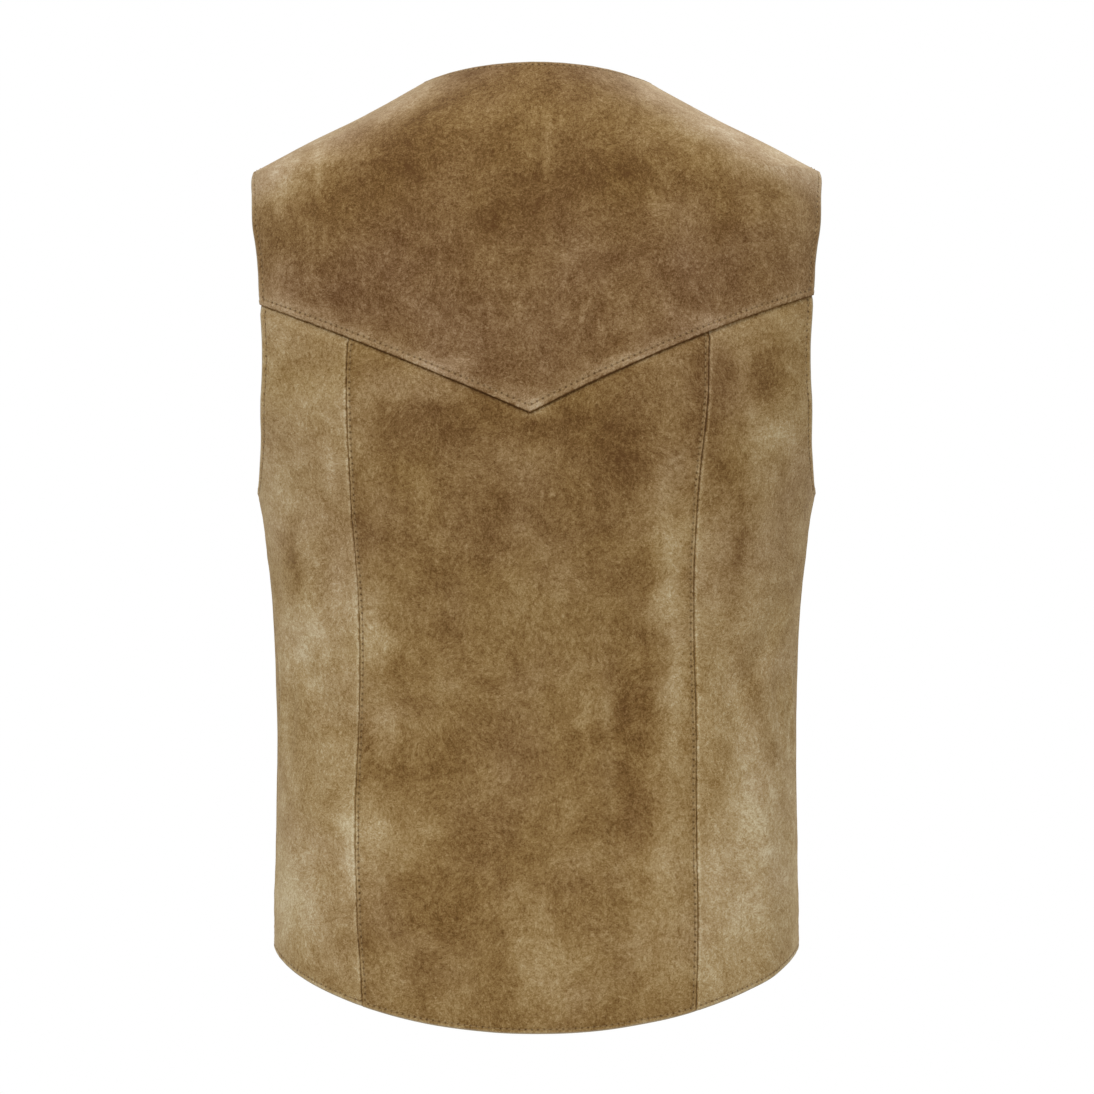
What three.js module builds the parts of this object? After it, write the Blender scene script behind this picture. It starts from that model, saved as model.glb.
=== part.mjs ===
// A western vest in tan suede, snapped shut and filled out as if worn, with nobody in it.
// A pointed yoke laps over the back, two long seams part the back into a centre and two sides,
// and two plain fronts cross under a row of snaps.
// Millimetres. +X is the wearer's left, -Y the wearer's front and +Z up. The origin lies between
// the shoulders, level with the middle of the shoulder seams, where the wearer carries the vest.
import * as THREE from "three";

// Leather and how its pieces meet
const leather = 2; // the wall of every panel, inwards from the form
const seamGap = 0.3; // between panels that meet edge to edge
const lapGap = 0.45; // between a panel and one that lies on it
const lapLift = leather + lapGap;

// The figure that the vest is worn on, outside the leather, as level cuts from the hem up.
// half is half the width, back and front the depths behind and before the side line, and
// square the roundness of the cut: 2 is an ellipse, and more is boxier.
const form = [
  { level: -620, half: 176, back: 114, front: 114, square: 2.4 },
  { level: -545, half: 174.5, back: 110, front: 112, square: 2.4 },
  { level: -460, half: 173, back: 102, front: 109, square: 2.4 },
  { level: -400, half: 172.5, back: 99, front: 109, square: 2.4 },
  { level: -350, half: 173.7, back: 102, front: 112, square: 2.4 },
  { level: -300, half: 177, back: 110, front: 117, square: 2.3 },
  { level: -265, half: 181, back: 115, front: 119, square: 2.25 },
  { level: -240, half: 185.5, back: 118, front: 120, square: 2.22 },
  { level: -215, half: 191.7, back: 120, front: 119.5, square: 2.25 },
  { level: -180, half: 200, back: 121, front: 117, square: 2.32 },
  { level: -120, half: 204.5, back: 119, front: 109, square: 2.36 },
  { level: -75, half: 203.5, back: 115, front: 100, square: 2.32 },
  { level: -45, half: 196, back: 110, front: 92, square: 2.28 },
  { level: -28, half: 185.5, back: 106, front: 88, square: 2.25 },
  { level: -20, half: 166, back: 104, front: 85, square: 2.23 },
  { level: -12, half: 152, back: 101, front: 81, square: 2.2 },
  { level: 4, half: 121.5, back: 94, front: 71, square: 2.15 },
  { level: 20, half: 92, back: 84, front: 56, square: 2.05 },
  { level: 31, half: 73.5, back: 75.5, front: 45, square: 2 },
  { level: 40, half: 61, back: 69, front: 36, square: 2 },
];

// The largest soft folds: ridges that rise from the form and troughs that sink into it. Each runs
// from one bearing and level to another and fades at its ends. Bearings are in degrees round
// the vest: 0 is the wearer's left side, 90 the centre back, 180 the right side, 270 the front.
const folds = [
  { bearing: 120, level: -330, toBearing: 121, toLevel: -660, width: 15, rise: -2.6 },
  { bearing: 129, level: -290, toBearing: 131, toLevel: -620, width: 13, rise: 1.6 },
  { bearing: 68, level: -380, toBearing: 70, toLevel: -660, width: 16, rise: -2.2 },
  { bearing: 14, level: -320, toBearing: 33, toLevel: -410, width: 10, rise: -1.6 },
  { bearing: 164, level: -290, toBearing: 150, toLevel: -385, width: 10, rise: -1.6 },
  { bearing: 157, level: -420, toBearing: 155, toLevel: -600, width: 12, rise: 1.5 },
  { bearing: 318, level: -255, toBearing: 289, toLevel: -405, width: 14, rise: -2.6 },
  { bearing: 221, level: -265, toBearing: 249, toLevel: -415, width: 14, rise: -2.4 },
  { bearing: 301, level: -410, toBearing: 303, toLevel: -660, width: 15, rise: -2.4 },
  { bearing: 237, level: -430, toBearing: 235, toLevel: -660, width: 14, rise: -2.2 },
  { bearing: 326, level: -370, toBearing: 331, toLevel: -590, width: 12, rise: 1.8 },
  { bearing: 213, level: -345, toBearing: 210, toLevel: -560, width: 12, rise: 1.6 },
  { bearing: 298, level: -50, toBearing: 314, toLevel: -185, width: 12, rise: -1.6 },
  { bearing: 241, level: -40, toBearing: 227, toLevel: -190, width: 12, rise: -1.5 },
];
const foldFade = 0.35; // of a fold's length, at each end

// Armhole, as an oval seen from the side
const shoulderTip = -28; // level of its top
const underarm = -240; // level of its bottom
const armholeBack = 64;
const armholeFront = 84;
const armholeRound = 2.3; // how square its top half is
const underarmRound = 1.9; // and its bottom half
const underarmDepth = 10; // how far behind the side line its bottom lies

// Shoulder seam, from the tip forwards to the neck
const neckPoint = 30;
const neckSeamDepth = -14;

// Back neck
const neckBack = 35.2;
const neckSideX = 68.5;

// Yoke: its point, which sits a little to the wearer's left, and where its edge meets each
// armhole. Half way there the edge bows upwards by this much.
const yokePoint = -193;
const yokePointX = 4;
const yokeReach = 180;
const yokeEnd = { left: -121, right: -115 };
const yokeBow = { left: 1, right: 4 };
const lapDepth = 9; // the panels run this far up under the yoke
const lapFull = 10; // the yoke lies fully on them up to here
const lapGone = 22; // and is back on the form here

// Side seams, by their depth behind the side line
const sideSeams = [
  { level: -620, depth: 14 },
  { level: -545, depth: 15 },
  { level: -450, depth: 18 },
  { level: -410, depth: 22 },
  { level: -370, depth: 29 },
  { level: -340, depth: 24 },
  { level: -300, depth: 19 },
  { level: -270, depth: 17 },
  { level: underarm, depth: underarmDepth },
];

// Long back seams, by their distance from the centre line. Both lie turned to the wearer's left.
const backSeams = [
  { level: -600, left: 110, right: 101.5 },
  { level: -556, left: 112, right: 102.5 },
  { level: -517, left: 114.7, right: 103.3 },
  { level: -453, left: 116.5, right: 102.6 },
  { level: -386, left: 113.7, right: 102.4 },
  { level: -344, left: 113.2, right: 101 },
  { level: -304, left: 114.3, right: 100.6 },
  { level: -246, left: 118.7, right: 103.2 },
  { level: -173, left: 120.8, right: 109.6 },
  { level: -100, left: 116, right: 110.5 },
];

// Hems, by their level at each distance from the centre
const backHemCentre = -586.2;
const backHemRise = 38.5;
const backHemCorner = 5; // and this much more, only close to the side seams
const backHemHalf = 174;
const backHemPower = 2.1;
const backHemCornerPower = 14;
const frontHems = [
  { across: -40, level: -552 },
  { across: -15, level: -557 },
  { across: 20, level: -570 },
  { across: 48, level: -582 },
  { across: 85, level: -567 },
  { across: 130, level: -550 },
  { across: 174, level: -543 },
];

// Front edges: straight up past the centre, then a V to the neck point
const frontCross = 15; // how far each front runs past the centre
const vStart = -235;
const vPower = 1.12;
const crossFull = 32; // the left front lies fully on the right one out to here
const crossGone = 60; // and is back on the form here

// Snaps: a cap outside with a raised rim round a low dome, and a flat post head inside
const snapLevels = [-247, -337, -427, -517];
const snapSides = 16;
const capProfile = [
  { radius: 0, rise: 0 },
  { radius: 6.5, rise: 0 },
  { radius: 6.5, rise: 1.1 },
  { radius: 6, rise: 1.8 },
  { radius: 4.8, rise: 1.6 },
  { radius: 3.2, rise: 2.3 },
  { radius: 0, rise: 2.6 },
];
const postProfile = [
  { radius: 0, rise: 0 },
  { radius: 4.5, rise: 0 },
  { radius: 3.6, rise: 1 },
  { radius: 0, rise: 1 },
];

const mix = (a, b, share) => a + (b - a) * share;
const clamp = (value, low, high) => Math.min(high, Math.max(low, value));
const ease = (share) => share * share * (3 - 2 * share);

// A column of a table as a smooth curve through its rows, which never overshoots them.
function curve(rows, by, name) {
  const rise = (i) =>
    (rows[i + 1][name] - rows[i][name]) / (rows[i + 1][by] - rows[i][by]);
  const slopes = rows.map((row, i) => {
    const before = rise(Math.max(i - 1, 0));
    const after = rise(Math.min(i, rows.length - 2));
    return before * after > 0 ? (2 * before * after) / (before + after) : 0;
  });
  return (at) => {
    const past = rows.findIndex((row) => row[by] > at);
    const i = clamp(past < 0 ? rows.length - 2 : past - 1, 0, rows.length - 2);
    const step = rows[i + 1][by] - rows[i][by];
    const t = clamp((at - rows[i][by]) / step, 0, 1);
    const bend = t * (1 - t) * step;
    return (
      mix(rows[i][name], rows[i + 1][name], ease(t)) +
      bend * ((1 - t) * slopes[i] - t * slopes[i + 1])
    );
  };
}

const half = curve(form, "level", "half");
const back = curve(form, "level", "back");
const front = curve(form, "level", "front");
const square = curve(form, "level", "square");
const sideSeam = curve(sideSeams, "level", "depth");
const frontHem = curve(frontHems, "across", "level");
const backSeam = {
  left: curve(backSeams, "level", "left"),
  right: curve(backSeams, "level", "right"),
};

// A point of the form. The bearing runs from the wearer's left side, round by the back.
function onForm(bearing, level) {
  const across = Math.cos(bearing);
  const behind = Math.sin(bearing);
  const depth = behind > 0 ? back(level) : front(level);
  const power = square(level);
  const reach =
    (Math.abs(across / half(level)) ** power + Math.abs(behind / depth) ** power) **
    (-1 / power);
  return new THREE.Vector3(reach * across, reach * behind, level);
}

function outward(bearing, level) {
  const turn = 1e-3;
  const rise = 0.1;
  const along = onForm(bearing + turn, level).sub(onForm(bearing - turn, level));
  const up = onForm(bearing, level + rise).sub(onForm(bearing, level - rise));
  return along.cross(up).normalize();
}

// How far the folds lift the leather off the form at a point
function foldRise({ x, y, z }) {
  const bearing = (THREE.MathUtils.radToDeg(Math.atan2(y, x)) + 360) % 360;
  const reach = Math.hypot(x, y);
  let rise = 0;
  for (const fold of folds) {
    const along = (z - fold.level) / (fold.toLevel - fold.level);
    const off = bearing - mix(fold.bearing, fold.toBearing, along);
    const across = THREE.MathUtils.degToRad(off) * reach;
    const fade = ease(clamp(Math.min(along, 1 - along) / foldFade, 0, 1));
    rise += fold.rise * fade * Math.exp(-((across / fold.width) ** 2));
  }
  return rise;
}

// Bearings on the wearer's left, of a point at a given depth or at a given distance across
function bearingAtDepth(depth, level) {
  const most = depth > 0 ? back(level) : front(level);
  const power = square(level);
  const share = 1 - Math.abs(depth / most) ** power;
  return Math.atan2(depth, half(level) * share ** (1 / power));
}

function bearingAcross(across, level, facing) {
  const most = facing > 0 ? back(level) : front(level);
  const power = square(level);
  const share = 1 - Math.abs(across / half(level)) ** power;
  return Math.atan2(facing * most * share ** (1 / power), across);
}

// Half a seam's gap, as a turn of the bearing
function halfGap(bearing, level) {
  const turn = 1e-3;
  const step = onForm(bearing + turn, level).distanceTo(onForm(bearing, level));
  return ((seamGap / 2) * turn) / step;
}

// The armhole's edge, behind (1) or before (-1) its middle line
function armholeDepth(level, facing) {
  const middle = (shoulderTip + underarm) / 2;
  const height = clamp((level - middle) / (shoulderTip - middle), -1, 1);
  const power = height > 0 ? armholeRound : underarmRound;
  const width = (1 - Math.abs(height) ** power) ** (1 / power);
  const line = (underarmDepth * (1 - height)) / 2;
  return line + facing * width * (facing > 0 ? armholeBack : armholeFront);
}

function shoulderSeamDepth(level) {
  return neckSeamDepth * clamp((level - shoulderTip) / (neckPoint - shoulderTip), 0, 1);
}

// The edge that a panel has at the wearer's side: side seam, armhole, then shoulder seam.
function sideEdge(level, facing) {
  if (level > underarm && level < shoulderTip) {
    return bearingAtDepth(armholeDepth(level, facing), level);
  }
  const depth = level <= underarm ? sideSeam(level) : shoulderSeamDepth(level);
  const bearing = bearingAtDepth(depth, level);
  return bearing + facing * halfGap(bearing, level);
}

function backSeamEdge(level, side, towards) {
  const bearing = bearingAcross(backSeam[side](level), level, 1);
  return bearing + towards * halfGap(bearing, level);
}

// The front's own edge, where across is measured towards the wearer's side
function frontEdgeAcross(level) {
  const share = clamp((level - vStart) / (neckPoint - vStart), 0, 1);
  return mix(-frontCross, neckSideX, share ** vPower);
}

function yokeLine(x) {
  const side = x > yokePointX ? "left" : "right";
  const reach = yokeReach + (side === "left" ? -yokePointX : yokePointX);
  const share = Math.abs(x - yokePointX) / reach;
  return mix(yokePoint, yokeEnd[side], share) + 4 * yokeBow[side] * share * (1 - share);
}

const neckLine = (x) => mix(neckBack, neckPoint, clamp((x / neckSideX) ** 2, 0, 1));

function backHem(x) {
  const share = Math.abs(x / backHemHalf);
  return (
    backHemCentre +
    backHemRise * share ** backHemPower +
    backHemCorner * share ** backHemCornerPower
  );
}

// A panel is a grid between two side edges, built up in bands of rows from one edge level to
// the next. Each band's edge is a function of x, so it is settled column by column. lean shifts
// the inner columns, so that the middle one can meet a point of an edge.
const settleRounds = 16;

function gridOf({ columns, start, end, bands, lean = 0 }) {
  const bearingAt = (share, level) =>
    mix(start(level), end(level), share + lean * share * (1 - share));
  const settle = (edge, share) => {
    let level = edge(0);
    for (let round = 0; round < settleRounds; round++) {
      level = edge(onForm(bearingAt(share, level), level).x);
    }
    return level;
  };
  const rows = [];
  bands.forEach(({ from, to, count, spread = (t) => t }, band) => {
    for (let row = band ? 1 : 0; row <= count; row++) {
      const cells = [];
      for (let column = 0; column <= columns; column++) {
        const share = column / columns;
        const level = mix(settle(from, share), settle(to, share), spread(row / count));
        cells.push({ level, bearing: bearingAt(share, level) });
      }
      rows.push(cells);
    }
  });
  return rows;
}

// Rows along the side seams and the shoulder seams, the same on both pieces that meet there
const sideRows = 13;
const shoulderRows = 8;

// Row spacings that close up towards an armhole's flat top or bottom
const closeAtStart = (t) => 1 - Math.cos((t * Math.PI) / 2);
const closeAtEnd = (t) => Math.sin((t * Math.PI) / 2);
const closeAtBoth = (t) => (1 - Math.cos(t * Math.PI)) / 2;

// The closed wall on a grid: outer skin, inner skin and rim. A mirrored wall is the wearer's right.
function wall(rows, lift, mirrored) {
  const wide = rows[0].length;
  const places = [];
  const faces = [];
  for (const depth of [0, leather]) {
    for (const cell of rows.flat()) {
      const point = onForm(cell.bearing, cell.level);
      const out = outward(cell.bearing, cell.level);
      if (mirrored) {
        point.x = -point.x;
        out.x = -out.x;
      }
      point.addScaledVector(out, foldRise(point) + lift(point) - depth);
      places.push(point.x, point.y, point.z);
    }
  }
  const outer = (row, column) => row * wide + column;
  const inner = (row, column) => outer(row, column) + rows.length * wide;
  const quad = (a, b, c, d) =>
    mirrored ? faces.push(a, c, b, a, d, c) : faces.push(a, b, c, a, c, d);
  const lastRow = rows.length - 1;
  const lastColumn = wide - 1;
  for (let r = 0; r < lastRow; r++) {
    for (let c = 0; c < lastColumn; c++) {
      quad(outer(r, c), outer(r, c + 1), outer(r + 1, c + 1), outer(r + 1, c));
      quad(inner(r, c), inner(r + 1, c), inner(r + 1, c + 1), inner(r, c + 1));
    }
    quad(outer(r, 0), outer(r + 1, 0), inner(r + 1, 0), inner(r, 0));
    quad(
      inner(r, lastColumn),
      inner(r + 1, lastColumn),
      outer(r + 1, lastColumn),
      outer(r, lastColumn),
    );
  }
  for (let c = 0; c < lastColumn; c++) {
    quad(outer(0, c), inner(0, c), inner(0, c + 1), outer(0, c + 1));
    quad(
      outer(lastRow, c + 1),
      inner(lastRow, c + 1),
      inner(lastRow, c),
      outer(lastRow, c),
    );
  }
  const geometry = new THREE.BufferGeometry();
  geometry.setAttribute("position", new THREE.Float32BufferAttribute(places, 3));
  geometry.setIndex(faces);
  geometry.computeVertexNormals();
  return geometry;
}

const suede = (name, color) =>
  new THREE.MeshStandardMaterial({ name, color, roughness: 0.95, metalness: 0 });
const suedeYoke = suede("suede_yoke", 0x7c6040);
const suedeBack = suede("suede_back", 0x84683f);
const suedeSide = suede("suede_side", 0xa08861);
const suedeFront = suede("suede_front", 0x8e7148);
const brass = new THREE.MeshStandardMaterial({
  name: "antique_brass",
  color: 0x8a6f45,
  roughness: 0.38,
  metalness: 1,
});

const vest = new THREE.Group();

function add(name, geometry, material) {
  const mesh = new THREE.Mesh(geometry, material);
  mesh.name = name;
  vest.add(mesh);
  return mesh;
}

const onTheForm = () => 0;
const level = (height) => () => height;
const underYoke = (x) => yokeLine(x) + lapDepth;

// The yoke stands off the panels where it laps them.
function yokeLift(point) {
  const above = point.z - yokeLine(point.x);
  return lapLift * (1 - ease(clamp((above - lapFull) / (lapGone - lapFull), 0, 1)));
}

function addYoke() {
  const leftEdge = sideEdge(yokePoint, 1);
  const pointShare =
    (bearingAcross(yokePointX, yokePoint, 1) - leftEdge) / (Math.PI - 2 * leftEdge);
  const rows = gridOf({
    columns: 44,
    start: (height) => sideEdge(height, 1),
    end: (height) => Math.PI - sideEdge(height, 1),
    lean: 4 * (pointShare - 0.5),
    bands: [
      { from: yokeLine, to: (x) => yokeLine(x) + lapFull, count: 2 },
      {
        from: (x) => yokeLine(x) + lapFull,
        to: (x) => yokeLine(x) + lapGone,
        count: 2,
      },
      {
        from: (x) => yokeLine(x) + lapGone,
        to: level(shoulderTip),
        count: 7,
        spread: closeAtEnd,
      },
      {
        from: level(shoulderTip),
        to: neckLine,
        count: shoulderRows,
        spread: closeAtStart,
      },
    ],
  });
  add("back_yoke", wall(rows, yokeLift, false), suedeYoke);
}

function addCentreBack() {
  const rows = gridOf({
    columns: 20,
    start: (height) => backSeamEdge(height, "left", 1),
    end: (height) => Math.PI - backSeamEdge(height, "right", 1),
    bands: [{ from: backHem, to: underYoke, count: 20 }],
  });
  add("centre_back", wall(rows, onTheForm, false), suedeBack);
}

function addSideBack(side) {
  const mirrored = side === "right";
  const own = (edge) => (mirrored ? (x) => edge(-x) : edge);
  const rows = gridOf({
    columns: 10,
    start: (height) => sideEdge(height, 1),
    end: (height) => backSeamEdge(height, side, -1),
    bands: [
      { from: backHem, to: level(underarm), count: sideRows },
      { from: level(underarm), to: own(underYoke), count: 8, spread: closeAtStart },
    ],
  });
  add(`side_back_${side}`, wall(rows, onTheForm, mirrored), suedeSide);
}

// The left front stands off the right one where they cross.
function crossLift(point) {
  return lapLift * (1 - ease(clamp((point.x - crossFull) / (crossGone - crossFull), 0, 1)));
}

function addFront(side) {
  const mirrored = side === "right";
  const rows = gridOf({
    columns: 20,
    start: (height) => bearingAcross(frontEdgeAcross(height), height, -1),
    end: (height) => sideEdge(height, -1),
    bands: [
      { from: frontHem, to: level(underarm), count: sideRows },
      { from: level(underarm), to: level(shoulderTip), count: 12, spread: closeAtBoth },
      {
        from: level(shoulderTip),
        to: level(neckPoint),
        count: shoulderRows,
        spread: closeAtStart,
      },
    ],
  });
  add(`front_${side}`, wall(rows, mirrored ? onTheForm : crossLift, mirrored), suedeFront);
}

// A turned piece that stands on a skin at the centre front, facing out (1) or into the vest (-1)
function addTurned(name, profile, height, lift, facing) {
  const bearing = -Math.PI / 2;
  const out = outward(bearing, height);
  const points = profile.map(({ radius, rise }) => new THREE.Vector2(radius, rise));
  const mesh = add(name, new THREE.LatheGeometry(points, snapSides), brass);
  mesh.position.copy(onForm(bearing, height)).addScaledVector(out, lift);
  const up = new THREE.Vector3(0, 1, 0);
  mesh.quaternion.setFromUnitVectors(up, out.multiplyScalar(facing));
}

function addSnaps() {
  snapLevels.forEach((height, i) => {
    addTurned(`snap_cap_${i + 1}`, capProfile, height, lapLift + seamGap, 1);
    addTurned(`snap_post_${i + 1}`, postProfile, height, -leather - seamGap, -1);
  });
}

addYoke();
addCentreBack();
addSideBack("left");
addSideBack("right");
addFront("left");
addFront("right");
addSnaps();

export default vest;
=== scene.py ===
# %% [markdown]
# # A western vest in tan suede
# This lesson dresses the imported solids of a snapped-up vest, filled out as if worn. The packed
# model comes first and stays as it is: it says where every panel lies. Each panel is then made
# again as a thin sheet of suede with rolled edges, sunk stitch rows and soft folds.
# %% Load the imported model
import math

import bpy
import numpy as np
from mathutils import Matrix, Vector, noise


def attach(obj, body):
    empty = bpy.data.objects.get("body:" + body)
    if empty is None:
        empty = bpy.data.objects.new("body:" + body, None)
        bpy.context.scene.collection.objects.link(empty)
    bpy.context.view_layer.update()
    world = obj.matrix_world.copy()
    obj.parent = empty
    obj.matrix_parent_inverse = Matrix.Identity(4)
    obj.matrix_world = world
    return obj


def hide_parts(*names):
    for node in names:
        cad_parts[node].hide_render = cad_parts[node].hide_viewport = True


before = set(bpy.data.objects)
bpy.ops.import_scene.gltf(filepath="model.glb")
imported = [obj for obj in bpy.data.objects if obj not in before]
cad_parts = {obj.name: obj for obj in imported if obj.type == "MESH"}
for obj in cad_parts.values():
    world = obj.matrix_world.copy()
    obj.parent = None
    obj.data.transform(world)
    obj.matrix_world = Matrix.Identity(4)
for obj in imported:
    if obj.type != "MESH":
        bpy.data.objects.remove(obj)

bpy.ops.object.select_all(action="DESELECT")
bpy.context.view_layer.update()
print("solids:", sorted(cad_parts))

# %% [markdown]
# The camera stands behind the wearer, square to the back and level with the middle of the vest,
# as in the photograph. A long lens from 2.2 m keeps the sides nearly parallel. It goes in first,
# so that every later step can be looked at through it.
# %% Camera
camera_back = 2.2
camera_side = -0.00687
camera_height = -0.278
picture_lens = 108.6
bpy.ops.object.camera_add(
    location=(camera_side, camera_back, camera_height),
    rotation=(math.radians(90), 0, math.radians(180)),
)
camera = bpy.context.object
camera.data.lens = picture_lens
camera.data.sensor_width = 36
bpy.context.scene.camera = camera
print("camera at", tuple(round(v, 3) for v in camera.location))

# %% [markdown]
# ## The worn form
# Every panel is cut flat, but once worn it follows one rounded body. That body is a stack of
# level cuts. Each cut is a rounded box, given by half its width, its depths behind and before the
# side line, and how square it is. A smooth curve through each column of the table gives the form
# at any level. These are the sizes that the solids were made from, in millimetres, with the line
# of the shoulders drawn straighter by up to 2 mm.
# %% Smooth curves through a table
form = [
    # level, half, back, front, square
    (-620, 176, 114, 114, 2.4),
    (-545, 174.5, 110, 112, 2.4),
    (-460, 173, 102, 109, 2.4),
    (-400, 172.5, 99, 109, 2.4),
    (-350, 173.7, 102, 112, 2.4),
    (-300, 177, 110, 117, 2.3),
    (-265, 181, 115, 119, 2.25),
    (-240, 185.5, 118, 120, 2.22),
    (-215, 191.7, 120, 119.5, 2.25),
    (-180, 200, 121, 117, 2.32),
    (-120, 204.5, 119, 109, 2.36),
    (-75, 203.5, 115, 100, 2.32),
    (-45, 196, 110, 92, 2.28),
    (-31, 189.4, 106.8, 88.8, 2.25),
    (-30, 187.6, 106.5, 88.5, 2.25),
    (-12, 154.2, 101, 81, 2.2),
    (4, 121.5, 94, 71, 2.15),
    (20, 92, 84, 56, 2.05),
    (31, 73.5, 75.5, 45, 2),
    (40, 61, 69, 36, 2),
]


def ease(share):
    return share * share * (3 - 2 * share)


def ramp(value, low, high):
    """0 up to low, 1 from high on, and smooth between them."""
    return ease(np.clip((value - low) / (high - low), 0, 1))


def curve(rows, column):
    """A column of a table as a smooth curve through its rows, which never overshoots them."""
    at = np.array([row[0] for row in rows], float)
    value = np.array([row[column] for row in rows], float)
    rise = np.diff(value) / np.diff(at)
    before = np.concatenate([rise[:1], rise])
    after = np.concatenate([rise, rise[-1:]])
    both = before * after
    slope = np.where(both > 0, 2 * both / np.where(both > 0, before + after, 1), 0)

    def read(x):
        x = np.asarray(x, float)
        i = np.clip(np.searchsorted(at, x, side="right") - 1, 0, len(at) - 2)
        step = at[i + 1] - at[i]
        t = np.clip((x - at[i]) / step, 0, 1)
        bend = t * (1 - t) * step * ((1 - t) * slope[i] - t * slope[i + 1])
        return value[i] + (value[i + 1] - value[i]) * ease(t) + bend

    return read


half, back, front, square = [curve(form, column) for column in (1, 2, 3, 4)]
print("half width at the waist:", float(half(-400)), "mm")


# %% Points of the form
def on_form(bearing, level):
    """Bearings run from the wearer's left side, round by the back."""
    across, behind = np.cos(bearing), np.sin(bearing)
    depth = np.where(behind > 0, back(level), front(level))
    power = square(level)
    reach = (np.abs(across / half(level)) ** power + np.abs(behind / depth) ** power) ** (-1 / power)
    return np.stack([reach * across, reach * behind, level + 0 * reach], -1)


def outward(bearing, level):
    turn, rise = 1e-3, 0.1
    along = on_form(bearing + turn, level) - on_form(bearing - turn, level)
    up = on_form(bearing, level + rise) - on_form(bearing, level - rise)
    out = np.cross(along, up)
    return out / np.linalg.norm(out, axis=-1, keepdims=True)


def bearing_at_depth(depth, level):
    most = np.where(depth > 0, back(level), front(level))
    power = square(level)
    share = np.clip(1 - np.abs(depth / most) ** power, 0, 1)
    return np.arctan2(depth, half(level) * share ** (1 / power))


def bearing_across(across, level, facing):
    most = back(level) if facing > 0 else front(level)
    power = square(level)
    share = np.clip(1 - np.abs(across / half(level)) ** power, 0, 1)
    return np.arctan2(facing * most * share ** (1 / power), across)


print("centre back at the yoke's point:", on_form(math.pi / 2, -193).round(1))

# %% [markdown]
# ## Where the panels are cut
# The outlines of the panels are lines on that form: the oval armhole, the side seams, the two
# long back seams, the yoke's pointed edge, the neck, the curved hems and the fronts' edges. Each
# is a small function, so that a panel, its stitches and its wear and painted shade can all ask
# for the same line.
# %% Armholes and side seams
shoulder_tip = -28
underarm = -240
armhole_back = 64
armhole_front = 84
armhole_squareness = (2.3, 1.9)  # above and below its middle
armhole_foot_back = 10  # how much further back its foot lies than its top
neck_point = 30
neck_point_forward = 14
half_gap = 0.15  # half of what stands open between two panels
side_reach, back_reach = 180, 150  # how far out the seams lie, to turn a gap into a bearing
side_seam = curve(
    [(-620, 14), (-545, 15), (-450, 18), (-410, 22), (-370, 29), (-340, 24), (-300, 19), (-270, 17),
     (underarm, 10)],
    1,
)


def armhole_depth(level, facing):
    middle = (shoulder_tip + underarm) / 2
    height = np.clip((level - middle) / (shoulder_tip - middle), -1, 1)
    power = np.where(height > 0, *armhole_squareness)
    width = np.clip(1 - np.abs(height) ** power, 0, 1) ** (1 / power)
    middle_depth = armhole_foot_back * (1 - height) / 2
    return middle_depth + facing * width * (armhole_back if facing > 0 else armhole_front)


def side_edge(level, facing):
    """The edge at the wearer's side: side seam, armhole, then shoulder seam."""
    level = np.asarray(level, float)
    slope = np.clip((level - shoulder_tip) / (neck_point - shoulder_tip), 0, 1)
    seam = np.where(level <= underarm, side_seam(level), -neck_point_forward * slope)
    in_armhole = (level > underarm) & (level < shoulder_tip)
    depth = np.where(in_armhole, armhole_depth(level, facing), seam)
    gap = np.where(in_armhole, 0, facing * half_gap / side_reach)
    return bearing_at_depth(depth, level) + gap


print("armhole, front to back:", armhole_back + armhole_front, "mm")

# %% Back seams, yoke, neck and hems
back_seam_rows = [
    # level, wearer's left, wearer's right, as distances from the centre line
    (-600, 110, 101.5),
    (-556, 112, 102.5),
    (-517, 114.7, 103.3),
    (-453, 116.5, 102.6),
    (-386, 113.7, 102.4),
    (-344, 113.2, 101),
    (-304, 114.3, 100.6),
    (-246, 118.7, 103.2),
    (-173, 120.8, 109.6),
    (-100, 116, 110.5),
]
back_seam = {"left": curve(back_seam_rows, 1), "right": curve(back_seam_rows, 2)}
front_hem = curve(
    [(-40, -552), (-15, -557), (20, -570), (48, -582), (85, -567), (130, -550), (174, -543)], 1
)
yoke_tip_x = 4
yoke_tip = -193
yoke_half = (176, 184)  # from the tip to the edge's ends, on the wearer's left and right
yoke_ends = (-121, -115)
yoke_bow = (1, 4)  # how far the edge bows up in the middle
neck_middle = 35.2
neck_dip = 5.2
neck_half = 68.5
hem_middle = -586.2
hem_half = 174
hem_rise = 38.5
hem_corner = 5  # the last turn up beside the side seams
v_foot = -235
v_reach = 83.5
front_lap = 15  # how far a front edge lies past the centre


def back_seam_edge(level, side, towards):
    return bearing_across(back_seam[side](level), level, 1) + towards * half_gap / back_reach


def yoke_line(x):
    left = x > yoke_tip_x
    share = np.abs(x - yoke_tip_x) / np.where(left, *yoke_half)
    climb = np.where(left, *yoke_ends) - yoke_tip
    return yoke_tip + climb * share + 4 * np.where(left, *yoke_bow) * share * (1 - share)


def neck_line(x):
    return neck_middle - neck_dip * np.clip((x / neck_half) ** 2, 0, 1)


def back_hem(x):
    share = np.abs(x / hem_half)
    return hem_middle + hem_rise * share**2.1 + hem_corner * share**14


def front_edge_across(level):
    """Straight up past the centre, then a V to the neck point."""
    share = np.clip((level - v_foot) / (neck_point - v_foot), 0, 1)
    return -front_lap + v_reach * share**1.12


def at_level(height):
    return lambda x: height + 0 * x


print("yoke's edge at its tip and at 100 mm:", float(yoke_line(4)), float(yoke_line(100).round(1)))
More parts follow.
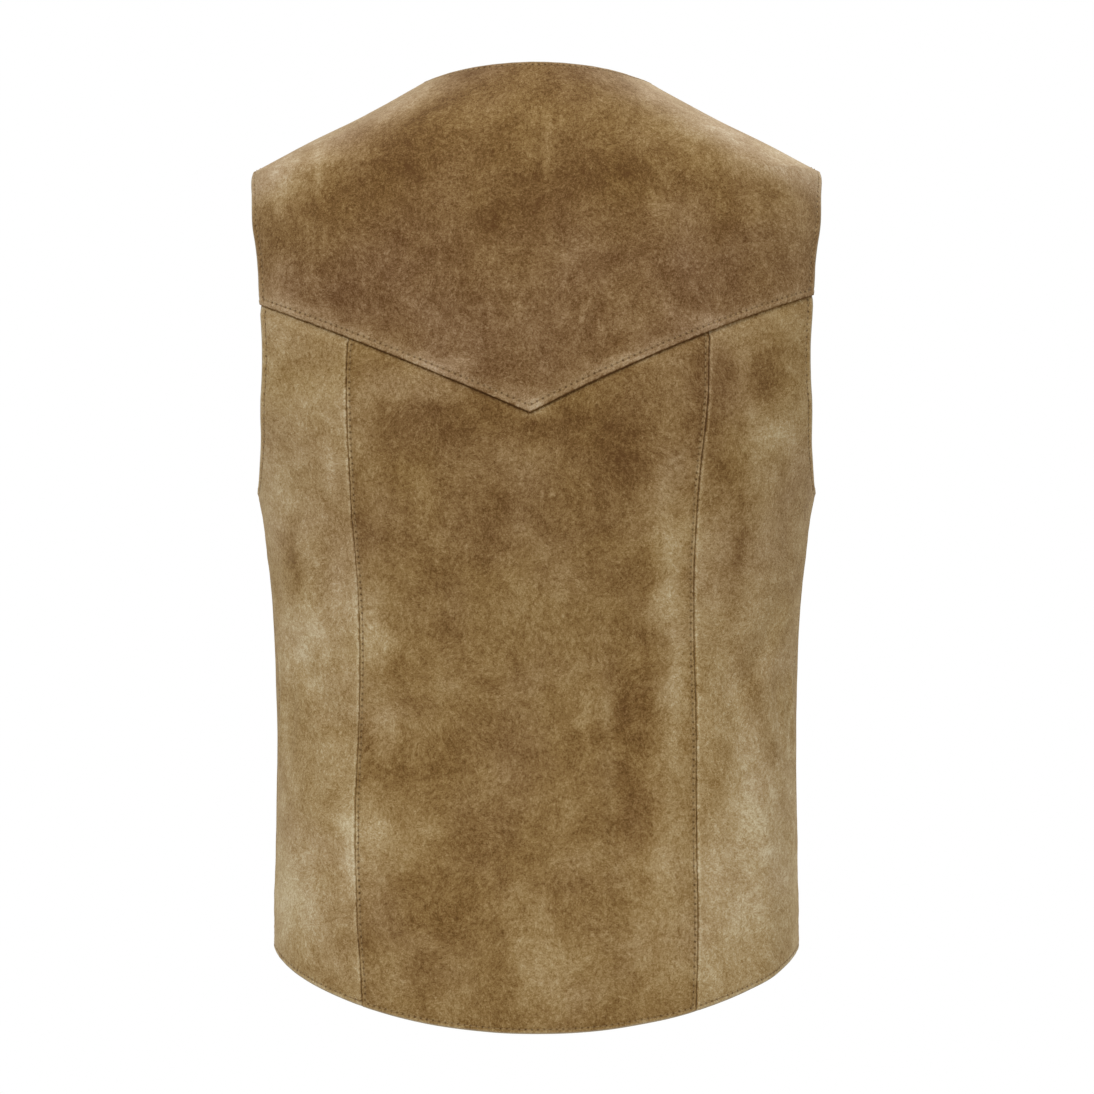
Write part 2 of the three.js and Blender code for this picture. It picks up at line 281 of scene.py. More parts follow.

# %% [markdown]
# ## Folds
# Suede this thick falls in a few broad, soft waves. It doesn't wrinkle like shirt cloth. Each
# fold is placed as a line from one bearing and level to another, with a width and a rise;
# a negative rise is a trough. The first table is the one that the solids have. The second holds
# the smaller creases, such as the one that runs down from the left shoulder.
# %% Broad folds and small creases
folds = [
    # bearing, level, to bearing, to level, width, rise
    (120, -330, 121, -660, 15, -2.6),
    (129, -290, 131, -620, 13, 1.6),
    (68, -380, 70, -660, 16, -2.2),
    (14, -320, 33, -410, 10, -1.6),
    (164, -290, 150, -385, 10, -1.6),
    (157, -420, 155, -600, 12, 1.5),
    (318, -255, 289, -405, 14, -2.6),
    (221, -265, 249, -415, 14, -2.4),
    (301, -410, 303, -660, 15, -2.4),
    (237, -430, 235, -660, 14, -2.2),
    (326, -370, 331, -590, 12, 1.8),
    (213, -345, 210, -560, 12, 1.6),
    (298, -50, 314, -185, 12, -1.6),
    (241, -40, 227, -190, 12, -1.5),
]
creases = [
    (30, -20, 34.5, -96, 3, 0.55),
    (33, -24, 38, -90, 4, -0.35),
    (150, -30, 147, -84, 4, 0.35),
    (166, -345, 171, -425, 3.5, 1.2),
    (160, -350, 165, -430, 4, -0.9),
    (171, -438, 166, -492, 3.5, 1.0),
    (14, -352, 9, -432, 3.5, 1.1),
    (19, -356, 14, -436, 4, -0.8),
    (8, -262, 13, -352, 5, 0.7),
    (172, -258, 168, -330, 5, 0.6),
    (24, -250, 17, -300, 6, -0.6),
    (158, -246, 164, -300, 6, -0.6),
    (52, -300, 46, -372, 7, -0.5),
    (134, -200, 129, -262, 7, -0.5),
    (345, -262, 332, -318, 5, -0.8),
    (196, -258, 208, -312, 5, -0.8),
    (340, -300, 322, -352, 4, 0.6),
    (201, -296, 219, -346, 4, 0.6),
    (312, -420, 316, -500, 6, -0.6),
    (228, -400, 224, -486, 6, -0.6),
    (84, -240, 88, -330, 9, -0.4),
    (98, -420, 95, -520, 9, -0.4),
    (94, 14, 94, -75, 3, 0.3),
    (101, -152, 108, -106, 4, 0.5),
    (104, -156, 111, -112, 4.5, -0.4),
    (121, -236, 131, -212, 4.5, 0.6),
    (119, -250, 125, -222, 5, -0.5),
    (112, -320, 113, -505, 5, 0.7),
    (117, -310, 118, -505, 5.5, -0.7),
    (126, -240, 128, -450, 6, 0.6),
    (138, -320, 149, -456, 6, 0.9),
    (144, -330, 156, -440, 6, -0.8),
    (48, -440, 52, -560, 7, 0.6),
    (40, -330, 37, -430, 6, 0.6),
    (22, -380, 27, -470, 6, -0.7),
]


def ends_faded(along, share):
    """1 along a line, fading to 0 over this share of its length at each end."""
    return ease(np.clip(np.minimum(along, 1 - along) / share, 0, 1))


def fold_rise(points):
    bearing = np.degrees(np.arctan2(points[..., 1], points[..., 0])) % 360
    reach = np.hypot(points[..., 0], points[..., 1])
    rise = np.zeros(bearing.shape)
    for start, level, end, to_level, width, height in folds + creases:
        along = (points[..., 2] - level) / (to_level - level)
        across = np.radians(bearing - start - (end - start) * along) * reach
        rise += height * ends_faded(along, 0.35) * np.exp(-((across / width) ** 2))
    return rise


print(len(folds), "broad folds and", len(creases), "creases")

# %% [markdown]
# ## A panel as a grid
# A panel could be drawn as an outline and filled, but then it would have no rows to bend along.
# Here it is a grid, as a tailor's panel has a warp and a length: its columns run between two side
# edges and its rows between a lower and an upper edge. The cells are 1 mm wide along the edges,
# where seams and stitches need shape, and 2.6 mm in the middle, where creases do.
# %% Grid rows and columns
fine_cell = 1.0
wide_cell = 2.6
fine_band = 6.5
cell_growth = 0.3
settling_rounds = 16


def graded(length, at_start=True, at_end=True, wide=wide_cell):
    """Shares from 0 to 1 along a length in mm, close together near the chosen ends."""
    places = [0.0]
    while places[-1] < length:
        at = places[-1]
        cell = wide
        if at_start:
            cell = min(cell, fine_cell + cell_growth * max(0, at - fine_band))
        if at_end:
            cell = min(cell, fine_cell + cell_growth * max(0, length - at - fine_band))
        places.append(at + cell)
    return np.array(places) / places[-1]


def close_at_start(t):
    return 1 - np.cos(t * math.pi / 2)


def close_at_end(t):
    return np.sin(t * math.pi / 2)


def close_at_both(t):
    return (1 - np.cos(t * math.pi)) / 2


def grid_of(columns, start, end, bands, lean=0):
    """The form's points on a grid, and the first row of each band."""

    def bearing_at(level):
        return start(level) + (end(level) - start(level)) * (columns + lean * columns * (1 - columns))

    def settle(edge):
        level = edge(np.zeros(len(columns)))
        for _ in range(settling_rounds):
            level = edge(on_form(bearing_at(level), level)[:, 0])
        return level

    rows, marks = [], []
    for low, high, steps in bands:
        low, high = settle(low), settle(high)
        marks.append(max(0, len(rows) - 1))
        rows += [low + (high - low) * step for step in steps[1 if rows else 0 :]]
    marks.append(len(rows) - 1)
    levels = np.array(rows)
    return on_form(np.array([bearing_at(row) for row in levels]), levels), marks


print("cells across a 200 mm panel:", len(graded(200)) - 1)

# %% [markdown]
# ## Lines that shape the leather
# What makes leather read as sewn is its relief beside each line: a cut edge rolls down, a stitch
# row sinks, the strip between them puffs up, and a seam is a narrow groove with a thicker band
# beside it, where the allowance lies folded underneath. All of that depends only on how far a
# point lies from the line, so one function measures it for any line.
# %% Distance from a line
def nearest_on(line, points):
    """How far each point is from a line, and how far along the line its nearest place is."""
    best = np.full(len(points), np.inf)
    along = np.zeros(len(points))
    run = 0.0
    for a, b in zip(line[:-1], line[1:]):
        span = b - a
        length = np.linalg.norm(span)
        if length < 1e-6:
            continue
        t = np.clip((points - a) @ span / length**2, 0, 1)
        gap = np.linalg.norm(points - a - t[:, None] * span, axis=1)
        closer = gap < best
        best[closer] = gap[closer]
        along[closer] = run + t[closer] * length
        run += length
    return best, along


def hump(distance, middle, width):
    return np.exp(-(((distance - middle) / width) ** 2))


def unevenness(along, seed):
    """About 1, a little more or less from place to place along a line."""
    return 1 + 0.35 * np.sin(along / 17 + seed) + 0.25 * np.sin(along / 7.3 + 2 * seed)


print("a hump at its middle:", float(hump(3.0, 3.0, 1.0)))

# %% Relief beside each kind of line
# kind: (stitch inset or None, roll at the line, puff, how wide the thicker band is)
line_kinds = {
    "cut": (2.8, 0.45, 0.18, 0),
    "armhole": (4.6, 0.45, 0.18, 0),
    "lap": (3.9, 0.25, 0.25, 0),
    "stitched_seam": (2.4, 0.5, 0.35, 8.5),
    "plain_seam": (None, 0.45, 0.1, 0),
}
roll_width = 1.5
row_sink, row_width = 0.3, 0.9
pucker_rise, pucker_width = 0.08, 3.5
band_rise, band_softness = 0.35, 3


def relief_of(lines, points):
    """How far the leather lies above or below its plain sheet, in mm."""
    rise = np.zeros(len(points))
    for number, (kind, line) in enumerate(lines):
        inset, roll, puff, band = line_kinds[kind]
        distance, along = nearest_on(line, points)
        uneven = unevenness(along, number + len(lines))
        rise -= roll * hump(distance, 0, roll_width)
        if inset:
            rise += puff * uneven * hump(distance, inset * 0.5, inset * 0.3)
            rise -= row_sink * hump(distance, inset, row_width)
            pucker = np.sin(along / 2.1 + 3 * np.sin(along / 23)) * unevenness(along, number)
            rise += pucker_rise * pucker * hump(distance, inset, pucker_width)
        if band:
            rise += band_rise * uneven * (1 - ramp(distance, band - band_softness, band + band_softness))
    return rise


hide_wave, hide_wave_size = 0.35, 38
hide_ripple, hide_ripple_size = 0.12, 13


def hide_unevenness(points):
    """Slow unevenness of the hide itself, in mm."""
    waves = [hide_wave * noise.noise(Vector(p / hide_wave_size)) for p in points]
    ripples = [hide_ripple * noise.noise(Vector(p / hide_ripple_size)) for p in points]
    return np.array(waves) + np.array(ripples)


print("stitch insets:", {kind: row[0] for kind, row in line_kinds.items()})

# %% [markdown]
# ## Cutting and shaping a panel
# A plain grid is the cut hide. Each of its points then goes to its place on the form, lifted by
# the folds, by what the panel lies on and by the relief. Solidify gives it the leather's
# thickness inwards, so that the outer face keeps its place. The points near a line are saved with
# the mesh as attributes: how far from the cut edge, and how far from and along a stitch row.
# %% Panel maker
MM = 0.001
leather = 1.9
lap_lift = 2.45
soft_turn = math.radians(50)  # the sheet is shaded smooth where it turns by less than this
panels = {}


def bearing_of(points):
    return np.arctan2(points[..., 1], points[..., 0])


def skin(panel, points):
    """Where points of the form lie on a panel's outer face, and which way is out there."""
    bearing, level = bearing_of(points), points[:, 2]
    rise = fold_rise(points) + panel["lift"](points) + relief_of(panel["lines"], points)
    rise += hide_unevenness(points)
    out = outward(bearing, level)
    return on_form(bearing, level) + out * rise[:, None], out


def use(piece):
    bpy.ops.object.select_all(action="DESELECT")
    piece.select_set(True)
    bpy.context.view_layer.objects.active = piece


def places(mesh):
    spots = np.empty(len(mesh.vertices) * 3)
    mesh.vertices.foreach_get("co", spots)
    return spots.reshape(-1, 3)


def save_attribute(mesh, name, values):
    attribute = mesh.attributes.new(name, "FLOAT", "POINT")
    attribute.data.foreach_set("value", np.asarray(values, np.float32))


def grid_piece(name, rows, columns):
    """A plane grid of so many rows and columns of points, and the row and column of each."""
    bpy.ops.mesh.primitive_grid_add(x_subdivisions=columns - 1, y_subdivisions=rows - 1, size=1)
    piece = bpy.context.object
    piece.name = piece.data.name = name
    flat = places(piece.data) + 0.5
    row = np.rint(flat[:, 1] * (rows - 1)).astype(int)
    column = np.rint(flat[:, 0] * (columns - 1)).astype(int)
    return piece, row, column


def make_sheet(piece, shaped, thickness):
    """Moves the grid's points to their places and gives the sheet its thickness, inwards."""
    piece.data.vertices.foreach_set("co", (shaped * MM).ravel())
    wall = piece.modifiers.new("wall", "SOLIDIFY")
    wall.thickness = thickness * MM
    wall.offset = -1
    use(piece)
    bpy.ops.object.modifier_apply(modifier="wall")
    bpy.ops.object.shade_smooth_by_angle(angle=soft_turn)


def make_panel(name, cut, lift, edges, mirrored=False):
    """edges: (border, first band, last band, kind). A mirrored panel is the wearer's right one."""
    grid, marks = cut
    if mirrored:
        grid = grid[:, ::-1] * (-1, 1, 1)
    start, end = (-1, 0) if mirrored else (0, -1)
    lines = []
    for border, first, last, kind in edges:
        rows = slice(marks[first], marks[last + 1] + 1)
        borders = {"bottom": grid[0], "top": grid[-1], "start": grid[rows, start], "end": grid[rows, end]}
        lines.append((kind, borders[border]))
    panel = {"lift": lift, "lines": lines, "grid": grid}
    panels[name] = panel
    piece, row, column = grid_piece(name, *grid.shape[:2])
    shaped, _ = skin(panel, grid[row, column])
    make_sheet(piece, shaped, leather)
    save_wear_and_painted_shade(piece.data, lines)
    panel["piece"] = piece
    print(name, len(piece.data.polygons), "faces")


# %% Attributes for wear, painted shade and needle holes
no_line = 99.0  # stands for a distance where there is no such line
slope_of_yoke_edge = 0.93  # its cosine, which turns a height above the edge into a distance
centre_ridge, side_ridge = 0.22, 0.06
attribute_for_wear_and_shade = {
    "cut": "edge",
    "armhole": "edge",
    "lap": "lap",
    "stitched_seam": "seam",
    "plain_seam": "seam",
}


def save_wear_and_painted_shade(mesh, lines):
    spots = places(mesh) / MM
    on = on_form(bearing_of(spots), spots[:, 2])
    wear_and_shade_marks = {name: np.full(len(on), no_line) for name in ("edge", "lap", "seam", "row_off")}
    wear_and_shade_marks["row_run"] = np.zeros(len(on))
    for kind, line in lines:
        inset = line_kinds[kind][0]
        distance, along = nearest_on(line, on)
        name = attribute_for_wear_and_shade[kind]
        wear_and_shade_marks[name] = np.minimum(wear_and_shade_marks[name], distance)
        if inset:
            closer = distance - inset < wear_and_shade_marks["row_off"]
            wear_and_shade_marks["row_off"][closer] = (distance - inset)[closer]
            wear_and_shade_marks["row_run"][closer] = along[closer]
    # Solidify adds the inner face's points after the outer ones; only the outer nap is marked
    outer = np.arange(len(on)) < len(on) // 2
    # The upper stretch of each back seam is a rubbed, pale ridge, most of all on the centre panel
    upper = ramp(on[:, 2], -330, -230) * (on[:, 1] > 0) * outer
    patchy = np.clip(unevenness(on[:, 2], 1) - 0.5, 0, 1)
    strength = centre_ridge if mesh.name == "centre_back_suede" else side_ridge
    ridge = strength * hump(wear_and_shade_marks["seam"], 1.4, 0.8) * upper * patchy
    wear_and_shade_marks["tone"] = tone_of(spots, outer) + ridge
    wear_and_shade_marks["rosy"] = rosiness_of(on, mesh.name)
    # how far below the yoke's edge, for the painted shadow under its lap
    below = slope_of_yoke_edge * (yoke_line(on[:, 0]) - on[:, 2])
    lapped = (on[:, 1] > 0) & (mesh.name != "yoke_suede")
    wear_and_shade_marks["below_yoke"] = np.where(lapped, below, no_line)
    for name, values in wear_and_shade_marks.items():
        save_attribute(mesh, name, values)


# %% [markdown]
# ## Patches in the nap
# Suede is never one colour. The hide takes the dye unevenly, and the nap is darker or paler with
# the way it was last brushed. The larger patches are placed as soft ovals on the back, and warped
# a little so that none looks like an oval. The streaks are pale and dark lines along soft creases:
# partly marks in the nap, partly painted highlight and shade on the creases. The shoulders get a
# painted highlight where they turn up to the light. The hidden front gets patches of the same
# size and strength.
# %% Patches and streaks
back_patches = [
    # x, level, half width, half height, paler by this many levels of 255
    (-5, -3, 60, 22, 5),
    (66, -22, 32, 18, -8),
    (88, -52, 24, 26, -12),
    (-66, -40, 26, 22, -5),
    (4, -60, 60, 30, -5),
    (110, -104, 40, 22, -6),
    (-20, -110, 24, 34, 5),
    (76, -112, 22, 20, 6),
    (-84, -66, 26, 22, 6),
    (168, -50, 15, 16, 20),
    (122, -30, 24, 10, 9),
    (-92, -12, 20, 12, 20),
    (-176, -70, 9, 22, 16),
    (-122, -30, 30, 11, 16),
    (-163, -52, 13, 24, 16),
    (120, -54, 26, 10, -6),
    (-40, -52, 16, 33, -6),
    (36, -123, 8, 14, -9),
    (-121, -84, 9, 27, -8),
    (62, -162, 22, 6, 17),
    (4, -186, 8, 6, 22),
    (-54, -160, 34, 6, 14),
    (-105, -135, 15, 6, 20),
    (170, -112, 13, 23, 12),
    (36, -198, 39, 19, -9),
    (-2, -200, 19, 9, -12),
    (-41, -205, 33, 27, -12),
    (102, -176, 15, 34, 6),
    (95, -204, 13, 20, -13),
    (136, -158, 26, 12, -12),
    (-156, -154, 18, 18, -15),
    (-27, -187, 14, 8, 9),
    (-125, -215, 12, 16, -10),
    (60, -178, 22, 12, 6),
    (25, -251, 9, 11, -13),
    (-54, -236, 18, 39, -11),
    (-32, -287, 8, 18, -7),
    (72, -300, 12, 14, -8),
    (56, -368, 20, 26, 11),
    (72, -455, 12, 28, 12),
    (-57, -398, 19, 32, -14),
    (-60, -434, 14, 28, -4),
    (61, -414, 33, 19, -8),
    (61, -511, 35, 18, -12),
    (22, -518, 9, 10, -10),
    (68, -556, 20, 9, -8),
    (22, -546, 14, 20, -13),
    (98, -553, 20, 16, 18),
    (-86, -261, 11, 42, 20),
    (-92, -342, 15, 38, 16),
    (-80, -528, 24, 44, 13),
    (-83, -313, 10, 27, 15),
    (-89, -390, 8, 42, 15),
    (-86, -471, 13, 38, 13),
    (104, -337, 9, 27, 24),
    (99, -389, 9, 23, 18),
    (102, -458, 16, 33, 22),
    (-27, -375, 14, 27, 9),
    (-2, -533, 27, 35, 12),
    (-16, -565, 60, 16, 5),
    (-30, -412, 14, 14, -10),
    (-40, -477, 23, 13, 9),
    (68, -464, 23, 15, 7),
    (159, -172, 8, 6, -9),
    (162, -286, 9, 27, -14),
    (148, -342, 20, 32, 21),
    (146, -262, 12, 34, 8),
    (166, -240, 8, 34, 10),
    (152, -502, 19, 33, 25),
    (118, -470, 13, 27, 15),
    (123, -530, 20, 20, -11),
    (145, -515, 14, 26, 9),
    (-140, -480, 46, 110, 13),
    (-114, -204, 8, 35, -17),
    (-130, -248, 10, 32, -13),
    (-116, -167, 13, 19, -12),
    (-150, -170, 14, 14, -12),
    (-134, -286, 12, 22, -7),
    (-152, -204, 10, 11, 14),
    (-145, -312, 22, 20, 12),
    (-125, -300, 11, 34, -10),
    (-124, -412, 12, 16, -16),
    (-110, -432, 10, 16, -13),
    (-138, -438, 19, 38, 9),
    (-150, -500, 20, 44, 9),
]
front_patches = [
    # the same five values
    (120, -300, 30, 40, 16),
    (-110, -360, 34, 50, 16),
    (60, -420, 22, 60, -14),
    (-60, -260, 24, 50, -14),
    (130, -480, 30, 40, 22),
    (-130, -500, 26, 44, 20),
    (-50, -490, 30, 26, -12),
    (110, -120, 24, 50, -12),
    (-110, -100, 28, 50, 12),
    # the two pale patches on the shoulders are painted highlight
    (150, -44, 26, 12, 8),
    (-150, -44, 26, 12, 8),
]
# Streaks: partly nap marks, partly painted highlight and shade along creases; the last is a painted fold
# highlight
streaks = [
    # x, level, to x, to level, half width, paler by this many levels of 255
    (-8, 16, -8, -70, 2.4, 14),
    (-1, 6, -2, -40, 2.5, -6),
    (142, -8, 138, -64, 1.5, 20),
    (132, -44, 139, -98, 1.5, 15),
    (143, -14, 164, -50, 2.0, -12),
    (156, -58, 140, -78, 1.5, 12),
    (-25, -147, -38, -112, 2.0, 14),
    (-31, -150, -45, -118, 2.5, -8),
    (14, -138, 10, -112, 2.4, 9),
    (24, -150, 30, -120, 2.6, 8),
    (-84, -96, -110, -104, 2.6, 8),
    (-70, -232, -98, -218, 2.4, 11),
    (-66, -246, -78, -212, 3.0, -8),
    (-44, -338, -47, -470, 3.4, 10),
    (-56, -310, -58, -500, 4.2, -6),
    (-30, -350, -33, -430, 3.0, 8),
    (-68, -240, -70, -480, 3.5, -6),
    (-84, -250, -88, -440, 5.0, 4),
    (-119, -324, -142, -456, 3.6, 11),
    (-130, -330, -156, -430, 4.0, -12),
    (-137, -398, -160, -452, 3.0, 9),
    (-126, -300, -136, -260, 3.0, -12),
    (160, -250, 152, -330, 3.0, -10),
    (166, -370, 160, -440, 2.6, 14),
    (134, -200, 128, -256, 3.0, 10),
    (88, -210, 94, -290, 4.0, -9),
    (-170, -368, -163, -424, 1.3, 20),
]
levels_per_tone = 82
# how much paler the shoulders are painted, as highlight where they face the light
painted_shoulder_highlight = 0.4
warp_size, patch_warp, streak_warp = 24, 7, 0.35


def below_shoulder(points):
    """How far below the line of the shoulders a point lies, as seen from behind."""
    return 24 - 0.52 * (np.abs(points[:, 0]) - 70) - points[:, 2]


def tone_of(spots, outer):
    warp = np.array([noise.noise_vector(Vector(p / warp_size)) for p in spots]) * patch_warp
    moved = spots + warp
    tone = np.zeros(len(spots))
    for patches, here in ((back_patches, spots[:, 1] > 0), (front_patches, spots[:, 1] <= 0)):
        for x, level, wide, high, levels in patches:
            off = ((moved[:, 0] - x) / wide) ** 2 + ((moved[:, 2] - level) / high) ** 2
            tone += here * levels / levels_per_tone * np.exp(-off)
    # Painted highlight: the shoulders are made paler where they turn up towards the light
    reach = np.abs(spots[:, 0])
    tone += outer * painted_shoulder_highlight * (1 - ramp(below_shoulder(moved), 0, 32)) * ramp(reach, 35, 80)
    # painted highlight and shade along the creases, with marks in the nap
    swayed = spots + warp * streak_warp
    marked = outer & (spots[:, 1] > 0)
    for x, level, to_x, to_level, wide, levels in streaks:
        along = (swayed[:, 2] - level) / (to_level - level)
        across = swayed[:, 0] - x - (to_x - x) * along
        paler = marked * ends_faded(along, 0.4) * levels / levels_per_tone
        tone += paler * np.exp(-((across / wide) ** 2))
    return tone


def rosiness_of(on, name):
    """The dye took rosier on the shoulders and the lower part of the yoke."""
    if name == "yoke_suede":
        return 0.2 + 0.6 * ramp(-on[:, 2], 30, 120) + 0.6 * (1 - ramp(below_shoulder(on), 5, 30))
    return 0.25 - 0.2 * ramp(-on[:, 2], 260, 330)


print(len(back_patches), "patches behind,", len(front_patches), "in front")

# %% [markdown]
# ## The six panels
# The yoke is one piece across both shoulders, with a point at the centre back. It laps over the
# panels below, so it stands one thickness off the form along its edge and comes back to it
# higher up. The centre and the two sides of the back meet edge to edge. The left front crosses
# over the right one under the snaps. Where two panels lap in a real seam, the covered one is
# pressed in, so the yoke stands off by a fraction of a millimetre and what it covers dips.
# %% Yoke
lap_depth = 9
yoke_stands_off = 0.35
panel_dips = 1.75
settles_from, settles_by = 10, 22  # how far above its edge the yoke comes back to the form


def yoke_lift(points):
    above = points[:, 2] - yoke_line(points[:, 0])
    return yoke_stands_off * (1 - ramp(above, settles_from, settles_by))


def dipped(points):
    """The panels below dip under the yoke, so that the lap is only one thickness high."""
    above = points[:, 2] - yoke_line(points[:, 0])
    return -panel_dips * ramp(above, -4.5, -0.4)


def above_edge(rise):
    return lambda x: yoke_line(x) + rise


left_edge = float(side_edge(yoke_tip, 1))
tip_share = (float(bearing_across(yoke_tip_x, yoke_tip, 1)) - left_edge) / (math.pi - 2 * left_edge)
make_panel(
    "yoke_suede",
    grid_of(
        columns=graded(390),
        start=lambda level: side_edge(level, 1),
        end=lambda level: math.pi - side_edge(level, 1),
        lean=4 * (tip_share - 0.5),
        bands=[
            (yoke_line, above_edge(settles_from), graded(10, True, False)),
            (above_edge(settles_from), above_edge(settles_by), graded(12, False, False, 2)),
            (above_edge(settles_by), at_level(shoulder_tip), close_at_end(graded(120, False, False))),
            (at_level(shoulder_tip), neck_line, close_at_start(graded(95, False, True))),
        ],
    ),
    yoke_lift,
    [
        ("bottom", 0, 0, "lap"),
        ("top", 0, 0, "cut"),
        ("start", 0, 2, "armhole"),
        ("end", 0, 2, "armhole"),
        ("start", 3, 3, "stitched_seam"),
        ("end", 3, 3, "stitched_seam"),
    ],
)

# %% Centre back
make_panel(
    "centre_back_suede",
    grid_of(
        columns=graded(228),
        start=lambda level: back_seam_edge(level, "left", 1),
        end=lambda level: math.pi - back_seam_edge(level, "right", 1),
        bands=[(back_hem, above_edge(lap_depth), graded(395, True, False))],
    ),
    dipped,
    [("bottom", 0, 0, "cut"), ("start", 0, 0, "stitched_seam"), ("end", 0, 0, "stitched_seam")],
)

# %% Side backs
for side, own in (("left", 1), ("right", -1)):
    make_panel(
        f"side_back_{side}_suede",
        grid_of(
            columns=graded(105),
            start=lambda level: side_edge(level, 1),
            end=lambda level: back_seam_edge(level, side, -1),
            bands=[
                (back_hem, at_level(underarm), graded(320, True, False)),
                (
                    at_level(underarm),
                    lambda x: yoke_line(own * x) + lap_depth,
                    close_at_start(graded(130, False, False)),
                ),
            ],
        ),
        dipped,
        [
            ("bottom", 0, 0, "cut"),
            ("start", 0, 0, "stitched_seam"),
            ("start", 1, 1, "armhole"),
            ("end", 0, 1, "plain_seam"),
        ],
        mirrored=own < 0,
    )


# %% Fronts
def flat_on(points):
    return np.zeros(len(points))


def cross_lift(points):
    return lap_lift * (1 - ramp(points[:, 0], 32, 60))


for side, lift in (("left", cross_lift), ("right", flat_on)):
    make_panel(
        f"front_{side}_suede",
        grid_of(
            columns=graded(200),
            start=lambda level: bearing_across(front_edge_across(level), level, -1),
            end=lambda level: side_edge(level, -1),
            bands=[
                (front_hem, at_level(underarm), graded(320, True, False)),
                (at_level(underarm), at_level(shoulder_tip), close_at_both(graded(212, False, False))),
                (at_level(shoulder_tip), at_level(neck_point), close_at_start(graded(90, False, True))),
            ],
        ),
        lift,
        [
            ("bottom", 0, 0, "cut"),
            ("start", 0, 2, "cut"),
            ("end", 0, 0, "plain_seam"),
            ("end", 1, 1, "armhole"),
            ("end", 2, 2, "plain_seam"),
        ],
        mirrored=side == "right",
    )

# %% [markdown]
# ## Seam allowances
# Behind every seam the two panels' edges are folded to one side and glued down. Seen from
# outside they only close the seam, and from inside they are flat bands beside it. Each is a thin
# strip that follows its seam on the inner face of the panels.
# %% Strips behind the seams
strip_half = 7
strip_leather = 1.2
strip_depth = leather + 0.25
strip_columns = 7
edge_lift = 0.3  # how far the strip's edges stand off the panel
strips = []


def make_strip(name, path):
    forward = np.gradient(path, axis=0)
    forward /= np.linalg.norm(forward, axis=1, keepdims=True)
    offsets = np.linspace(-strip_half, strip_half, strip_columns)
    across = np.cross(forward, outward(bearing_of(path), path[:, 2]))
    spread = path[:, None] + across[:, None] * offsets[None, :, None]
    piece, row, column = grid_piece(name, *spread.shape[:2])
    points = spread[row, column]
    bearing, level = bearing_of(points), points[:, 2]
    depth = fold_rise(points) - strip_depth - edge_lift * hump(np.abs(offsets[column]), strip_half, 1.5)
    shaped = on_form(bearing, level) + outward(bearing, level) * depth[:, None]
    make_sheet(piece, shaped, strip_leather)
    save_wear_and_painted_shade(piece.data, [])
    return piece


for side, own in (("left", 1), ("right", -1)):
    back_levels = np.linspace(float(back_hem(110)) + 4, float(yoke_line(own * 112)) + 6, 90)
    side_levels = np.linspace(float(front_hem(170)) + 5, underarm - 1, 80)
    shoulder_levels = np.linspace(shoulder_tip + 0.6, neck_point - 0.6, 60)
    for seam, levels, bearings, owner in (
        ("back", back_levels, back_seam_edge(back_levels, side, 0), "centre_back_suede"),
        ("side", side_levels, side_edge(side_levels, 0), f"front_{side}_suede"),
        ("shoulder", shoulder_levels, side_edge(shoulder_levels, 0), f"front_{side}_suede"),
    ):
        path = on_form(bearings, levels) * (own, 1, 1)
        strips.append((make_strip(f"{seam}_seam_allowance_{side}", path), owner))
print(len(strips), "strips")

# %% [markdown]
# ## Topstitching
# The rows are sewn in a bonded thread that nearly matches the hide, about 4 mm a stitch. From
# the back of the room they read as a dotted line, because each stitch dives into a dark needle
# hole. One stitch is modelled as a short bar of six sides whose ends turn down into the leather,
# and is then copied along every row, each copy turned to the panel under it.
# %% One stitch
stitch_length = 4.0
thread_radius = 0.27
bpy.ops.mesh.primitive_cylinder_add(vertices=6, radius=thread_radius, depth=1, end_fill_type="NGON")
stitch_model = bpy.context.object
bpy.ops.object.mode_set(mode="EDIT")
for height in (-0.3, 0, 0.3):
    bpy.ops.mesh.select_all(action="SELECT")
    bpy.ops.mesh.bisect(plane_co=(0, 0, height), plane_no=(0, 0, 1))
bpy.ops.object.mode_set(mode="OBJECT")
bar = places(stitch_model.data)
bar_faces = [tuple(face.vertices) for face in stitch_model.data.polygons]
bpy.data.objects.remove(stitch_model, do_unlink=True)
along_bar = bar[:, 2] * 2  # from -1 at one end to 1 at the other
dive = np.abs(along_bar) ** 4
print("a stitch has", len(bar_faces), "faces")

# %% Rows of stitches
bar_share = 0.94  # how much of the stitch length the bar fills
stands_up = 0.12
dives_down = 0.75


def row_places(panel, number):
    """Middles of the stitches of one row, and each one's direction along the row."""
    kind, line = panel["lines"][number]
    inset = line_kinds[kind][0]
    lengths = np.linalg.norm(np.diff(line, axis=0), axis=1)
    run = np.concatenate([[0], np.cumsum(lengths)])

    def at_run(place):
        return np.stack([np.interp(place, run, line[:, i]) for i in range(3)], 1)

    count = int(run[-1] // stitch_length)
    at = (np.arange(count) + 0.5) * stitch_length
    edge = at_run(at)
    along = at_run(at + 1) - at_run(at - 1)
    along /= np.linalg.norm(along, axis=1, keepdims=True)
    out = outward(bearing_of(edge), edge[:, 2])
    aside = np.cross(out, along)
    cells = panel["grid"].reshape(-1, 3)
    sides = []
    for towards in (1, -1):
        moved = edge + aside * towards * inset
        moved = on_form(bearing_of(moved), moved[:, 2])
        gaps = [np.linalg.norm(cells - place, axis=1).min() for place in moved]
        sides.append((moved, np.array(gaps)))
    nearer = sides[0][1] <= sides[1][1]
    moved = np.where(nearer[:, None], sides[0][0], sides[1][0])
    # A stitch is left out where the row would leave the panel or meet another row's corner
    keep = np.ones(count, bool)
    for other, (_, other_line) in enumerate(panel["lines"]):
        if other != number:
            gap, _ = nearest_on(other_line, moved)
            keep &= gap > inset - 0.3
    return moved[keep], along[keep]


